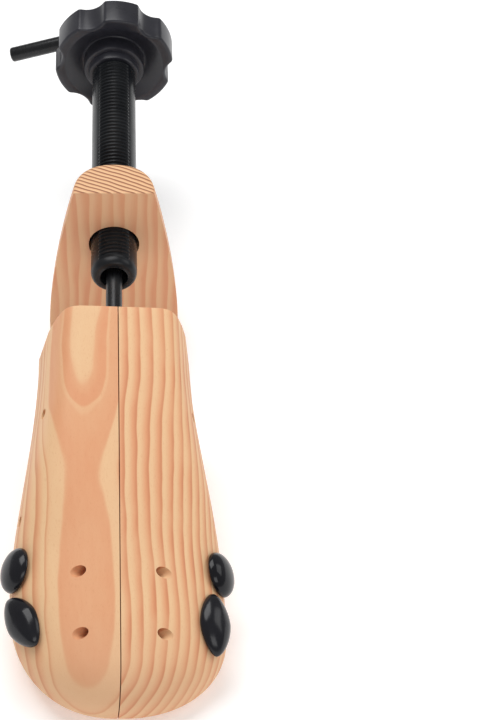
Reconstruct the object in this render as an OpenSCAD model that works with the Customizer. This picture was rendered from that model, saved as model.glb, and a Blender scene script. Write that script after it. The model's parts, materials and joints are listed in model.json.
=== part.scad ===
// Two-way shoe tree: a split wooden forepart that a handle spreads, and a wooden
// heel block that a knob drives along a hollow screw to set the length.
//
// Every piece is drawn in the screw's own frame: x across the shoe, y along the
// screw towards the knob, z up, origin on the screw's axis at the forepart's rear
// face. stand() then tilts the whole tree so that the sole and the heel block both
// rest on the ground, with the origin on the sole under the ball of the foot.

/* [Stance] */
// Slope of the screw above the ground, rising towards the knob, in degrees
tilt = 7; // [5:0.5:9]
// Height of the screw's axis above the ground at the forepart's rear face
axis_rise = 50; // [48:1:54]
// Distance from the forepart's rear face forward to the ball of the foot
ball_back = 100; // [90:1:110]
// Lean of the wooden forepart about the screw, in degrees
lean = 4.5; // [0:0.5:6]
// Swing of the forepart's toe towards the inner side, in degrees
toe_in = 1.6; // [0:0.1:2]

/* [Forepart] */
// Length of the forepart from its rear face to the toe
fore_len = 157.8; // [150:0.1:165]
// Half width of the right half at the rear face
rear_half = 32.1; // [30:0.1:36]
// Half width of the right half at the ball of the foot
ball_half = 43.1; // [38:0.1:46]
// Width that the left half lacks against the right half
left_slim = 2.2; // [0:0.1:3]
// Distance that the saw cut lies left of the screw's axis at the rear face
cut_shift = 1; // [0:0.1:1.5]
// Height of the top above the screw's axis at the rear face
rear_top = 34; // [33:0.5:38]
// Fall of the top surface per millimetre forward
top_fall = 0.272; // [0.24:0.002:0.28]
// Height that the sole is lifted off the ground at the rear face
rear_lift = 7; // [4:0.5:9]
// Width of the saw cut between the two halves
saw_cut = 0.4; // [0.3:0.1:0.8]

/* [Plugs] */
// Diameter of the holes that take the bunion plugs
plug_hole_d = 4.5; // [4:0.1:5]
// Depth of the holes on the top and under the plugs
plug_hole_depth = 12; // [11:0.5:14]
// Depth of the holes in the sides
side_hole_depth = 10; // [9.5:0.5:10.5]
// Length of a plug's peg
peg_len = 9; // [8:0.5:9]
// Diameter of the round plugs
round_plug_d = 18.2; // [16:0.2:24]
// Height of the round plugs
round_plug_h = 5.4; // [4:0.2:9]
// Height of the almond-shaped plugs
almond_h = 5.6; // [5:0.2:9]
// Length of the almond-shaped plugs
almond_len = 25.2; // [22:0.2:28]
// Width of the almond-shaped plugs
almond_w = 15; // [14:0.2:19]

/* [Heel block] */
// Distance from the forepart's rear face to the block's flat front face
block_gap = 66.6; // [62:0.2:72]
// Height of the block's top above the screw's axis
block_top = 31.3; // [29:0.1:34]
// Half width of the block at the ground
block_half = 29; // [27:0.5:31]
// Depth of the block at its top
block_top_depth = 17; // [15:0.5:19]
// Depth of the block at the ground
block_foot_depth = 43; // [40:0.5:46]

/* [Length screw] */
// Diameter at the root of the thread
screw_root_d = 20; // [19:0.5:21]
// Height of the thread's ridges
ridge_h = 0.8; // [0.6:0.1:1]
// Pitch of the thread
pitch = 2.2; // [2:0.1:2.4]
// Width of the ridged stretch above and below, in degrees of turn
ridge_arc = 78; // [60:2:100]
// Distance from the forepart's rear face to the screw's front end
screw_start = 46.7; // [44:0.1:50]
// Bore at the screw's front end
screw_mouth_d = 11.8; // [10.5:0.1:12]

/* [Knob] */
// Distance from the forepart's rear face to the knob's front rim
knob_start = 182.5; // [180:0.5:184]
// Radius over the lobes
knob_r = 27.8; // [26:0.1:29]
// Thickness of the rim
knob_t = 15.3; // [12:0.1:15.3]
// Number of lobes
lobes = 6; // [5:1:8]
// Depth of the hollows between the lobes
scallop_depth = 3.1; // [2:0.1:4]
// Radius of the hollows between the lobes
scallop_r = 9.9; // [8:0.1:12]

/* [Spindle] */
// Diameter of the spindle
rod_d = 7; // [6.5:0.1:7.5]
// Distance from the forepart's rear face to the handle
handle_at = 208; // [206:0.5:212]
// Length of the handle from the screw's axis to its end
handle_len = 52; // [46:1:58]
// Slope of the handle below the horizontal, in degrees
handle_drop = 18; // [0:1:30]
// Radius of the bend in the rod's axis
bend_r = 9; // [8:0.5:9]

/* [Spreader] */
// Distance that each half moves outward
spread = 10; // [6:0.5:10]
// Travel of the wedge for that spread
wedge_travel = 20; // [20:0.5:20]
// Diameter of the guide pins
guide_d = 6; // [5:0.5:6]

/* [Hidden] */

$fn = 96;
eps = 0.01;
run_fit = 0.05;      // radial clearance of a shaft that turns or slides
slip = 0.3;          // gap between faces that pass each other

pine = [0.90, 0.72, 0.52];
pine_dark = [0.86, 0.66, 0.46];
black_plastic = [0.13, 0.13, 0.14];
black_steel = [0.17, 0.17, 0.18];
bright_steel = [0.70, 0.71, 0.73];
brass = [0.78, 0.62, 0.32];

// ---- Frames ----------------------------------------------------------------

// From the screw's frame to the ground's frame
module stand() {
    translate([0, ball_back, axis_rise]) rotate([tilt, 0, 0]) children();
}

// From the wood's own frame, symmetric about its saw cut, to the screw's frame
module leaned() {
    rotate([0, lean, 0]) translate([-cut_shift, 0, 0]) rotate([0, 0, toe_in]) children();
}

// Turns a child drawn along +z so that it runs along +y from distance y
module along(y) {
    translate([0, y, 0]) rotate([-90, 0, 0]) children();
}

// Turns a child drawn along +z so that it runs along +x from distance x
module across(x) {
    translate([x, 0, 0]) rotate([0, 90, 0]) children();
}

// Everything below the ground, in the screw's frame
ground_w = 200;
ground_l = 500;
ground_t = 60;
module below_ground() {
    rotate([-tilt, 0, 0]) translate([-ground_w / 2, -ground_l / 2, -axis_rise - ground_t])
        cube([ground_w, ground_l, ground_t]);
}

// Height of the ground in the screw's frame at distance y
function ground(y) = -(axis_rise + y * sin(tilt)) / cos(tilt);

// ---- The forepart's outer form -----------------------------------------------
// form_point() gives a point of the surface. f is the distance forward of the rear
// face, and turn runs from 90 at the top, past 0 at the widest level, to -90.

ring_count = 26;
half_ring_count = 22;
sole_overlap = 2;        // the form reaches this far below the ground before it is cut flat
rear_waist_share = 0.44; // the widest level, as a share of the height down from the top
ball_waist_share = 0.6;
top_curve_rear = 10.5;      // a high exponent gives a flat top with tight shoulders
top_curve_ball = 2.6;
sole_curve = 3.2;
shoulder_curve = 1.6;    // rounds the shoulders in, where 1 would give a plain slope
shoulder_taper_rear = 0.29;
shoulder_taper_ball = 0.10;
sole_taper = 0.10;
nose_top_len = 16;
nose_top_curve = 2.4;
nose_sole_len = 48;
nose_sole_curve = 2;

function ease(a, b, t) = let (u = min(1, max(0, (t - a) / (b - a)))) u * u * (3 - 2 * u);
function round_off(f, len, n) =
    let (t = min(1, max(0, (f - fore_len + len) / len))) pow(1 - pow(t, n), 1 / n);
function toe_len(side) = side > 0 ? 36 : 48;
function toe_curve(side) = side > 0 ? 2.1 : 2.15;
function flare_from(side) = side > 0 ? -5 : -1;
function flare_to(side) = side > 0 ? 109 : 108;
function form_half(side, f) =
    (rear_half - (side > 0 ? 0 : left_slim)
     + (ball_half - rear_half) * ease(flare_from(side), flare_to(side), f))
    * round_off(f, toe_len(side), toe_curve(side));
function form_top(f) = rear_top - top_fall * f;
function form_sole(f) = ground(-f) - sole_overlap + (rear_lift + sole_overlap) * (1 - ease(0, 38, f));
function form_point(side, f, turn) =
    let (
        up = turn >= 0,
        top = form_top(f),
        sole = form_sole(f),
        share = rear_waist_share + (ball_waist_share - rear_waist_share) * ease(0, 90, f),
        waist = top - share * (top - sole),
        n = up ? top_curve_rear + (top_curve_ball - top_curve_rear) * ease(10, 100, f) : sole_curve,
        rise = pow(abs(sin(turn)), 2 / n),
        taper = up ? shoulder_taper_rear + (shoulder_taper_ball - shoulder_taper_rear) * ease(20, 110, f)
                   : sole_taper,
        x = form_half(side, f) * pow(abs(cos(turn)), 2 / n) * (1 - taper * pow(rise, shoulder_curve)) + saw_cut / 2,
        z = up ? waist + (top - waist) * rise * round_off(f, nose_top_len, nose_top_curve)
               : waist - (waist - sole) * rise * round_off(f, nose_sole_len, nose_sole_curve)
    ) [side * x, -f, z];

probe_f = 0.5;
probe_turn = 0.5;
function unit(v) = v / norm(v);
function form_normal(side, f, turn) =
    -side * unit(cross(form_point(side, f + probe_f, turn) - form_point(side, f - probe_f, turn),
                       form_point(side, f, turn + probe_turn) - form_point(side, f, turn - probe_turn)));

tip_share = 0.999;
function ring_f(i) = fore_len * tip_share * pow(sin(90 * i / ring_count), 0.9);
function ring_turn(j) = 90 - 180 * j / half_ring_count;

// Faces of a closed skin over rings of n points each, with flat ends
function skin_faces(rings, n) = concat(
    [for (i = [0:rings - 2], j = [0:n - 1]) let (k = (j + 1) % n)
        each [[i * n + j, i * n + k, (i + 1) * n + j], [i * n + k, (i + 1) * n + k, (i + 1) * n + j]]],
    [[for (j = [n - 1:-1:0]) j]],
    [[for (j = [0:n - 1]) (rings - 1) * n + j]]);
function flipped(faces) = [for (face = faces) [for (j = [len(face) - 1:-1:0]) face[j]]];

module half_form(side) {
    n = half_ring_count + 1;
    points = [for (i = [0:ring_count], j = [0:n - 1]) form_point(side, ring_f(i), ring_turn(j))];
    faces = skin_faces(ring_count + 1, n);
    leaned() polyhedron(points, side < 0 ? flipped(faces) : faces, convexity = 4);
}

// ---- Spreader, inside the forepart ---------------------------------------------

bearing_rear = -3;       // rear face of the rear bearing
bearing_t = 11;
bearing_w = 22;
bearing_top = 9;
bearing_foot = -21;
front_bearing_rear = -68;
front_bearing_t = 10;
front_bearing_w = 18;
front_bearing_top = 7.5;
guide_z = -15;           // height of the guide pins against the screw's axis
rear_guide_half = 28.5;
front_guide_half = 27;
spring_d = 6;
spring_inner_d = 4;
spring_grip = 4;         // length pressed into the bearing at one end and the wood at the other
spring_free = 9;         // length at rest between those grips

wedge_rear = -38;        // narrow end of the wedge, with the forepart closed
wedge_len = 22;
wedge_narrow = 4.5;
wedge_slope = spread / wedge_travel;
wedge_wide = wedge_narrow + wedge_len * wedge_slope;
wedge_h = 16;
ramp_gap = slip;
ramp_back = 18;          // distance from the screw's axis to the ramps' seats in the wood
ramp_heel = 4;           // length of the ramps behind the sloping face
ramp_screw_y = wedge_rear - 9;
ramp_screw_z = 4.5;
ramp_screw_d = 3;
ramp_screw_head_d = 5.6;
ramp_screw_head_t = 2;
ramp_screw_head_x = 13;  // distance from the screw's axis to the underside of the heads
ramp_screw_end = 26;

collar_d = 13;
collar_t = 3;
collar_gap = 0.15;
inner_collar_rear = bearing_rear - bearing_t - collar_gap;

journal_d = 6;
journal_start = -67.5;
rod_front = -77.5;

// Room for the spreader: one pocket cut across both halves
pocket_gap = 0.5;
pocket_overlap = 1;
module bearing_pocket(rear, thickness, width, top) {
    translate([-width / 2 - pocket_gap, rear - thickness - pocket_gap, bearing_foot - pocket_gap])
        cube([width + 2 * pocket_gap, thickness + 2 * pocket_gap, top - bearing_foot + 2 * pocket_gap]);
}

module spreader_pocket() {
    bearing_pocket(bearing_rear, bearing_t, bearing_w, bearing_top);
    along(bearing_rear) cylinder(h = -bearing_rear + 1, d = collar_d + 2 * pocket_gap);
    bearing_pocket(front_bearing_rear, front_bearing_t, front_bearing_w, front_bearing_top);
    // channel for the spindle, the wedge and the ramps
    channel_half = wedge_h / 2 + pocket_gap;
    y0 = bearing_rear - bearing_t - pocket_gap + pocket_overlap;
    y1 = wedge_rear + wedge_travel + pocket_gap;
    y2 = wedge_rear + ramp_heel + pocket_gap;
    y3 = wedge_rear - wedge_len - pocket_gap;
    y4 = front_bearing_rear + pocket_gap - pocket_overlap;
    x0 = collar_d / 2 + pocket_gap;
    x1 = wedge_wide + pocket_gap;
    right = [[x0, y0], [x0, y1], [x1, y1], [x1, y2], [ramp_back, y2], [ramp_back, y3], [x0, y3], [x0, y4]];
    left = [for (i = [len(right) - 1:-1:0]) [-right[i][0], right[i][1]]];
    translate([0, 0, -channel_half]) linear_extrude(2 * channel_half) polygon(concat(right, left));
}

// One side's blind bores for a guide pin and the closing spring above it
module guide_bore(side, y, half_w, reach) {
    mirror([side < 0 ? 1 : 0, 0, 0]) {
        translate([0, y, guide_z]) across(half_w) cylinder(h = reach - half_w + 1, d = guide_d + 2 * run_fit);
        translate([0, y, 0]) across(half_w) cylinder(h = spring_free, d = spring_d + 2 * slip);
        translate([0, y, 0]) across(half_w) cylinder(h = spring_free + spring_grip, d = spring_d);
    }
}

rear_guide_y = bearing_rear - bearing_t / 2;
front_guide_y = front_bearing_rear - front_bearing_t / 2;

module guide_bores(side) {
    guide_bore(side, rear_guide_y, bearing_w / 2, rear_guide_half);
    guide_bore(side, front_guide_y, front_bearing_w / 2, front_guide_half);
}

module ramp_screw_places(side) {
    for (z = [-ramp_screw_z, ramp_screw_z])
        translate([0, ramp_screw_y, z]) mirror([side < 0 ? 1 : 0, 0, 0]) children();
}

module rear_bearing() {
    color(black_plastic) stand() difference() {
        translate([-bearing_w / 2, bearing_rear - bearing_t, bearing_foot])
            cube([bearing_w, bearing_t, bearing_top - bearing_foot]);
        along(bearing_rear - bearing_t - 1) cylinder(h = bearing_t + 2, d = rod_d + 2 * run_fit);
        translate([0, rear_guide_y, guide_z]) across(-bearing_w) cylinder(h = 2 * bearing_w, d = guide_d);
        for (m = [0, 1]) mirror([m, 0, 0]) translate([0, rear_guide_y, 0])
            across(bearing_w / 2 - spring_grip) cylinder(h = spring_grip + 1, d = spring_d);
    }
}

module front_bearing() {
    color(black_plastic) stand() difference() {
        translate([-front_bearing_w / 2, front_bearing_rear - front_bearing_t, bearing_foot])
            cube([front_bearing_w, front_bearing_t, front_bearing_top - bearing_foot]);
        along(front_bearing_rear - front_bearing_t - 1)
            cylinder(h = front_bearing_t + 2, d = journal_d + 2 * run_fit);
        translate([0, front_guide_y, guide_z]) across(-front_bearing_w)
            cylinder(h = 2 * front_bearing_w, d = guide_d);
        for (m = [0, 1]) mirror([m, 0, 0]) translate([0, front_guide_y, 0])
            across(front_bearing_w / 2 - spring_grip) cylinder(h = spring_grip + 1, d = spring_d);
    }
}

pin_chamfer = 0.8;
module guide_pin(y, half_len) {
    color(bright_steel) stand() translate([0, y, guide_z]) across(-half_len) rotate_extrude()
        polygon([[0, 0], [guide_d / 2 - pin_chamfer, 0], [guide_d / 2, pin_chamfer],
                 [guide_d / 2, 2 * half_len - pin_chamfer], [guide_d / 2 - pin_chamfer, 2 * half_len],
                 [0, 2 * half_len]]);
}

module closing_spring(side, y, half_w) {
    length = spring_free + 2 * spring_grip;
    translate([0, y, 0]) mirror([side < 0 ? 1 : 0, 0, 0]) across(half_w - spring_grip) difference() {
        cylinder(h = length, d = spring_d);
        translate([0, 0, -1]) cylinder(h = length + 2, d = spring_inner_d);
    }
}

module closing_springs(side) {
    color(bright_steel) stand() {
        closing_spring(side, rear_guide_y, bearing_w / 2);
        closing_spring(side, front_guide_y, front_bearing_w / 2);
    }
}

module wedge_nut() {
    color(brass) stand() difference() {
        translate([0, 0, -wedge_h / 2]) linear_extrude(wedge_h)
            polygon([[-wedge_narrow, wedge_rear], [wedge_narrow, wedge_rear],
                     [wedge_wide, wedge_rear - wedge_len], [-wedge_wide, wedge_rear - wedge_len]]);
        along(wedge_rear - wedge_len - 1) cylinder(h = wedge_len + 2, d = rod_d + 2 * run_fit);
    }
}

module ramp(side) {
    inner = wedge_narrow + ramp_gap;
    color(bright_steel) stand() difference() {
        mirror([side < 0 ? 1 : 0, 0, 0]) translate([0, 0, -wedge_h / 2]) linear_extrude(wedge_h)
            polygon([[inner, wedge_rear + ramp_heel], [inner, wedge_rear],
                     [inner + wedge_len * wedge_slope, wedge_rear - wedge_len],
                     [ramp_back, wedge_rear - wedge_len], [ramp_back, wedge_rear + ramp_heel]]);
        ramp_screw_places(side) {
            across(0) cylinder(h = ramp_back + 1, d = ramp_screw_d);
            across(0) cylinder(h = ramp_screw_head_x, d = ramp_screw_head_d);
        }
    }
}

module ramp_screws(side) {
    color(bright_steel) stand() ramp_screw_places(side) {
        across(ramp_screw_head_x - ramp_screw_head_t) cylinder(h = ramp_screw_head_t, d = ramp_screw_head_d);
        across(ramp_screw_head_x - 1) cylinder(h = ramp_screw_end - ramp_screw_head_x + 1, d = ramp_screw_d);
    }
}

// ---- Plugs and their holes -------------------------------------------------------
// A seat is [distance forward, turn] on the form. The top holes are drilled on a slant.

function round_seat(side) = side > 0 ? [102.2, 21.8] : [100.6, 17.7];
function almond_seat(side) = side > 0 ? [125.5, 31.9] : [123.7, 24];
side_hole_seats = [[38, 7], [78, 8]];
top_hole_seats = [[109.3, 70.5], [133.2, 69]];
top_hole_slant = 46;
top_hole_heading = 20;
mouth = 3;               // length of a drill left above the surface, to open the hole's mouth

// Puts a child's z along the outward normal and its x along the shoe, on one side's form
module on_form(side, seat) {
    normal = form_normal(side, seat[0], seat[1]);
    forward = unit([0, -1, 0] - normal * (normal * [0, -1, 0]));
    sideways = cross(normal, forward);
    place = form_point(side, seat[0], seat[1]);
    leaned() multmatrix([[forward[0], sideways[0], normal[0], place[0]],
                         [forward[1], sideways[1], normal[1], place[1]],
                         [forward[2], sideways[2], normal[2], place[2]], [0, 0, 0, 1]]) children();
}

module plug_hole(depth) {
    translate([0, 0, -depth]) cylinder(h = depth + mouth, d = plug_hole_d);
}

// A child's z leans outward from the normal by the slant, and forward by the heading
module slanted(side) {
    rotate([0, 0, -side * top_hole_heading]) rotate([-side * top_hole_slant, 0, 0]) children();
}

module plug_holes(side) {
    for (seat = [round_seat(side), almond_seat(side)]) on_form(side, seat) plug_hole(plug_hole_depth);
    for (seat = side_hole_seats) on_form(side, seat) plug_hole(side_hole_depth);
    for (seat = top_hole_seats) on_form(side, seat) slanted(side) plug_hole(plug_hole_depth);
}

seat_gap = 0.15;         // the domes' flat backs stand this far off the wood's highest point
module peg() {
    translate([0, 0, -peg_len]) cylinder(h = peg_len + 1, d = plug_hole_d - 2 * run_fit);
}

module round_plug(side) {
    r = round_plug_d / 2;
    ball_r = (r * r + round_plug_h * round_plug_h) / (2 * round_plug_h);
    color(black_plastic) stand() on_form(side, round_seat(side)) {
        peg();
        translate([0, 0, seat_gap]) intersection() {
            translate([0, 0, round_plug_h - ball_r]) sphere(r = ball_r);
            cylinder(h = round_plug_h + 1, r = r);
        }
    }
}

almond_rings = 7;
// Turn of the almond's length against the shoe's; the peg is round, so each stands as it was left
function almond_swing(side) = side > 0 ? 12 : 22;
almond_points = 32;
almond_curve = 1.65;     // under 2, so that both ends come to a soft point
function almond_outline(a) =
    let (c = cos(a), s = sin(a),
         r = pow(pow(abs(2 * c / almond_len), almond_curve) + pow(abs(2 * s / almond_w), almond_curve),
                 -1 / almond_curve)) [r * c, r * s];
module almond_plug(side) {
    points = [for (i = [0:almond_rings], j = [0:almond_points - 1])
        let (q = almond_outline(360 * j / almond_points) * cos(89 * i / almond_rings))
        [q[0], q[1], almond_h * sin(89 * i / almond_rings)]];
    color(black_plastic) stand() on_form(side, almond_seat(side)) {
        peg();
        translate([0, 0, seat_gap]) rotate([0, 0, almond_swing(side)])
            polyhedron(points, flipped(skin_faces(almond_rings + 1, almond_points)), convexity = 2);
    }
}

module forepart(side) {
    color(side < 0 ? pine : pine_dark) stand() difference() {
        half_form(side);
        below_ground();
        spreader_pocket();
        guide_bores(side);
        ramp_screw_places(side) across(ramp_back - 1)
            cylinder(h = ramp_screw_end - ramp_back + 1, d = ramp_screw_d);
        plug_holes(side);
    }
}

// ---- Heel block --------------------------------------------------------------------

block_rings = 16;
block_arc = 22;
block_curve = 2.3;
block_flare = 1.55;      // exponent of the sides' inward sweep towards the top
block_foot = -66;        // lowest ring, below the ground
block_waist = -50;       // the sides stand straight below this height
block_top_half = 17.3;
block_bevel = 1;
function block_half_at(z) =
    block_half - (block_half - block_top_half) *
    pow(max(0, z - block_waist) / (block_top - block_waist), block_flare);
function block_depth_at(z) =
    block_top_depth + (block_foot_depth - block_top_depth) * pow((block_top - z) / (block_top - block_foot), 0.62);
function block_ring(z, inset) = [for (k = [0:block_arc])
    let (a = 180 * k / block_arc,
         x = (block_half_at(z) - inset) * pow(abs(cos(a)), 2 / block_curve) * (a > 90 ? -1 : 1),
         y = (block_depth_at(z) - inset) * pow(abs(sin(a)), 2 / block_curve))
    [x, block_gap + y, z]];
function block_level(i) = block_top - block_bevel -
    (block_top - block_bevel - block_foot) * (1 - cos(90 * i / block_rings));

nut_hole_d = 27;
nut_flange_d = 36;
nut_flange_t = 3;
nut_front = block_gap + 6;
nut_rear = block_gap + 24;
screw_crest_d = screw_root_d + 2 * ridge_h;
block_hole_d = screw_crest_d + 0.4;
nut_screw_d = 3;
nut_screw_r = 15.3;
nut_screw_head_d = 5;
nut_screw_head_t = 1.8;
nut_screw_len = 16;

module heel_block() {
    points = concat([for (i = [block_rings:-1:0]) each block_ring(block_level(i), 0)],
                    block_ring(block_top, block_bevel));
    color(pine) stand() difference() {
        polyhedron(points, flipped(skin_faces(block_rings + 2, block_arc + 1)), convexity = 4);
        below_ground();
        along(block_gap - 1) cylinder(h = nut_front - block_gap + 2, d = block_hole_d);
        along(nut_front) cylinder(h = block_foot_depth + 10, d = nut_hole_d);
        along(nut_rear - nut_flange_t) cylinder(h = block_foot_depth, d = nut_flange_d + 2 * slip);
        nut_screw_bores();
    }
}

module nut_screw_places() {
    for (z = [-nut_screw_r, nut_screw_r]) translate([0, 0, z]) children();
}

module nut_screw_bores() {
    nut_screw_places() along(nut_rear - nut_screw_len) cylinder(h = nut_screw_len + 1, d = nut_screw_d);
}

module heel_nut() {
    color(black_plastic) stand() difference() {
        union() {
            along(nut_front) cylinder(h = nut_rear - nut_front, d = nut_hole_d);
            along(nut_rear - nut_flange_t) cylinder(h = nut_flange_t, d = nut_flange_d);
        }
        along(nut_front - 1) cylinder(h = nut_rear - nut_front + 2, d = screw_crest_d + 2 * run_fit);
        nut_screw_bores();
    }
}

module heel_nut_screws() {
    color(bright_steel) stand() nut_screw_places() {
        along(nut_rear - nut_screw_len) cylinder(h = nut_screw_len + 1, d = nut_screw_d);
        along(nut_rear) cylinder(h = nut_screw_head_t, d = nut_screw_head_d);
    }
}

// ---- Length screw and knob -----------------------------------------------------------

hub_front = knob_start - 7;
hub_d = 23.5;
flange_front = knob_start - 3;
flange_d = 28;
dish_depth = 5;
dish_outer_r = 23.5;
knob_back = knob_start + knob_t;
socket_end = knob_back - 6;      // the screw's rear end, inside the knob
edge_r = 1.2;
mouth_depth = 15.5;
journal_len = 8;
screw_inner_d = 9;
screw_chamfer = 2;
ridge_start = screw_start + 3.2;

// One side's ridges, as a comb swept round part of a turn
module ridges(turn_from) {
    count = floor((hub_front - ridge_start) / pitch);
    root = screw_root_d / 2;
    comb = concat([[root - 0.5, 0]],
        [for (i = [0:count - 1], p = [[0, 0], [ridge_h, 0.3], [ridge_h, 0.55], [0, 0.85]])
            [root + p[0], (i + p[1]) * pitch]],
        [[root - 0.5, count * pitch]]);
    along(ridge_start) rotate([0, 0, turn_from]) rotate_extrude(angle = ridge_arc) polygon(comb);
}

module length_screw() {
    root = screw_root_d / 2;
    length = socket_end - screw_start;
    color(black_plastic) stand() difference() {
        union() {
            along(screw_start) rotate_extrude() polygon([[0, 0], [root - screw_chamfer, 0],
                [root, 2 * screw_chamfer], [root, length], [0, length]]);
            ridges(90 - ridge_arc / 2);
            ridges(270 - ridge_arc / 2);
        }
        along(screw_start - 1) cylinder(h = mouth_depth + 1, d = screw_mouth_d);
        along(screw_start) cylinder(h = mouth_depth + journal_len, d = rod_d + 2 * run_fit);
        along(screw_start + mouth_depth + journal_len) cylinder(h = length, d = screw_inner_d);
    }
}

module knob() {
    color(black_plastic) stand() difference() {
        union() {
            along(knob_start) intersection() {
                linear_extrude(knob_t) difference() {
                    circle(r = knob_r);
                    for (i = [0:lobes - 1]) rotate(-90 + 37.5 + i * 360 / lobes)
                        translate([knob_r - scallop_depth + scallop_r, 0]) circle(r = scallop_r);
                }
                rotate_extrude() polygon([[0, 0], [knob_r - edge_r, 0], [knob_r, edge_r],
                    [knob_r, knob_t - edge_r], [knob_r - edge_r, knob_t], [0, knob_t]]);
            }
            along(flange_front) cylinder(h = knob_start + dish_depth + 1 - flange_front, d = flange_d);
            along(hub_front) cylinder(h = flange_front - hub_front + 1, d = hub_d);
        }
        // dish around the hub
        along(knob_start) rotate_extrude() polygon([[flange_d / 2, -1], [dish_outer_r, -1],
            [dish_outer_r, 0], [flange_d / 2 + 1, dish_depth], [flange_d / 2, dish_depth]]);
        along(hub_front - 1) cylinder(h = socket_end - hub_front + 1, d = screw_root_d);
        along(socket_end - 1) cylinder(h = knob_back - socket_end + 2, d = rod_d + 2 * run_fit);
    }
}

// ---- Spindle -------------------------------------------------------------------------

handle_end_r = 0.8;
bend_core_r = 2.5;       // the straight lengths run this core a little way into the bend
bend_core_lap = 1.5;
module spindle() {
    r = rod_d / 2;
    rod_len = handle_at - bend_r - rod_front;
    handle_run = handle_len - bend_r;
    color(black_steel) stand() {
        along(rod_front) rotate_extrude() polygon([[0, 0], [journal_d / 2, 0],
            [journal_d / 2, journal_start - rod_front], [r, journal_start - rod_front],
            [r, rod_len], [bend_core_r, rod_len], [bend_core_r, rod_len + bend_core_lap],
            [0, rod_len + bend_core_lap]]);
        rotate([0, 180 - handle_drop, 0]) {
            translate([bend_r, handle_at - bend_r, 0]) rotate([0, 0, 90])
                rotate_extrude(angle = 90) translate([bend_r, 0]) circle(d = rod_d);
            translate([0, handle_at, 0]) across(bend_r) rotate_extrude()
                polygon([[0, -bend_core_lap], [bend_core_r, -bend_core_lap], [bend_core_r, 0], [r, 0],
                         [r, handle_run - handle_end_r], [r - handle_end_r, handle_run], [0, handle_run]]);
        }
    }
}

module collar(front, thickness, d) {
    along(front) difference() {
        cylinder(h = thickness, d = d);
        translate([0, 0, -1]) cylinder(h = thickness + 2, d = rod_d);
    }
}

module thrust_collars() {
    color(bright_steel) stand() {
        collar(inner_collar_rear - collar_t, collar_t, collar_d);
        collar(bearing_rear + collar_gap, 2.5, collar_d);
    }
}

stop_t = 3;
module stop_collar() {
    color(black_steel) stand()
        collar(screw_start + mouth_depth - stop_t - collar_gap, stop_t, screw_mouth_d - 2 * slip);
}

washer_d = 16;
washer_t = 1;
module rear_washer() {
    color(bright_steel) stand() collar(knob_back + collar_gap, washer_t, washer_d);
}

// ---- Nodes -----------------------------------------------------------------------------

forepart(-1);  // forepart_left
forepart(1);  // forepart_right
ramp(-1);  // ramp_left
ramp(1);  // ramp_right
ramp_screws(-1);  // ramp_screws_left
ramp_screws(1);  // ramp_screws_right
rear_bearing();
front_bearing();
guide_pin(rear_guide_y, rear_guide_half);  // rear_guide_pin
guide_pin(front_guide_y, front_guide_half);  // front_guide_pin
closing_springs(-1);  // closing_springs_left
closing_springs(1);  // closing_springs_right
wedge_nut();
spindle();
thrust_collars();
stop_collar();
rear_washer();
length_screw();
knob();
heel_block();
heel_nut();
heel_nut_screws();
round_plug(-1);  // round_plug_left
round_plug(1);  // round_plug_right
almond_plug(-1);  // almond_plug_left
almond_plug(1);  // almond_plug_right
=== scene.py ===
"""Two-way shoe tree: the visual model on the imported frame.

Every piece is built in the screw's own frame, in millimetres: x across the shoe, y along
the screw towards the knob, z up, origin on the screw's axis at the forepart's rear face.
to_world() takes it to the row frame in metres.
"""
import json
import math

import bmesh
import bpy
from mathutils import Euler, Matrix, Vector


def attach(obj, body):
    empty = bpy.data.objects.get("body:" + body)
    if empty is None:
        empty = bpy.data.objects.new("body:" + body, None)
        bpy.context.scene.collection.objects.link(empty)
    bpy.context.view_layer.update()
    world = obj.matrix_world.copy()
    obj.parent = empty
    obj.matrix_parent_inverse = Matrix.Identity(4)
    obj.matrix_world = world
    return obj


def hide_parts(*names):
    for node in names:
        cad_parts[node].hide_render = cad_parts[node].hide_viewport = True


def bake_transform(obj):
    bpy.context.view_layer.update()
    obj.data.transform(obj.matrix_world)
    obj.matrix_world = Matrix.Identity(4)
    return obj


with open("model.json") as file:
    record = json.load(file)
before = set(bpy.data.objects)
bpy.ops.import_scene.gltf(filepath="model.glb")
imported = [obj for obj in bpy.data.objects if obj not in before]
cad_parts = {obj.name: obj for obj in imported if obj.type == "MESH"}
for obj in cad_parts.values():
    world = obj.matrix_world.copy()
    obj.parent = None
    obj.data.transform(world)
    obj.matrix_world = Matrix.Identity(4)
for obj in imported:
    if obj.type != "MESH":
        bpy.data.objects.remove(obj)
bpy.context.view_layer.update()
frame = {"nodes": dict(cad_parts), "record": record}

# ---- Dimensions, in millimetres and degrees, as in the CAD ---------------------------

TILT, RISE, BALL = 7.0, 50.0, 100.0
LEAN, TOE_IN, CUT_SHIFT = 4.5, 1.6, 1.0
FORE_LEN, REAR_HALF, BALL_HALF, LEFT_SLIM = 157.8, 32.1, 43.1, 2.2
REAR_TOP, TOP_FALL, REAR_LIFT, SAW_CUT = 34.0, 0.272, 7.0, 0.4
PLUG_HOLE_R, HOLE_DEPTH, SIDE_HOLE_DEPTH, PEG_LEN = 2.25, 12.0, 10.0, 9.0
ROUND_R, ROUND_H, ALMOND_LEN, ALMOND_W, ALMOND_H = 9.1, 5.4, 25.2, 15.0, 5.6
BLOCK_GAP, BLOCK_TOP, BLOCK_HALF = 66.6, 31.3, 29.0
BLOCK_TOP_DEPTH, BLOCK_FOOT_DEPTH, BLOCK_FOOT = 17.0, 43.0, -66.0
SCREW_START, SCREW_END, SCREW_ROOT, RIDGE, PITCH = 46.7, 191.0, 10.0, 0.8, 2.2
KNOB_START, KNOB_T, KNOB_R, LOBES = 182.5, 15.3, 27.8, 6
SCALLOP_DEPTH, SCALLOP_R = 3.1, 9.9
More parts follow.
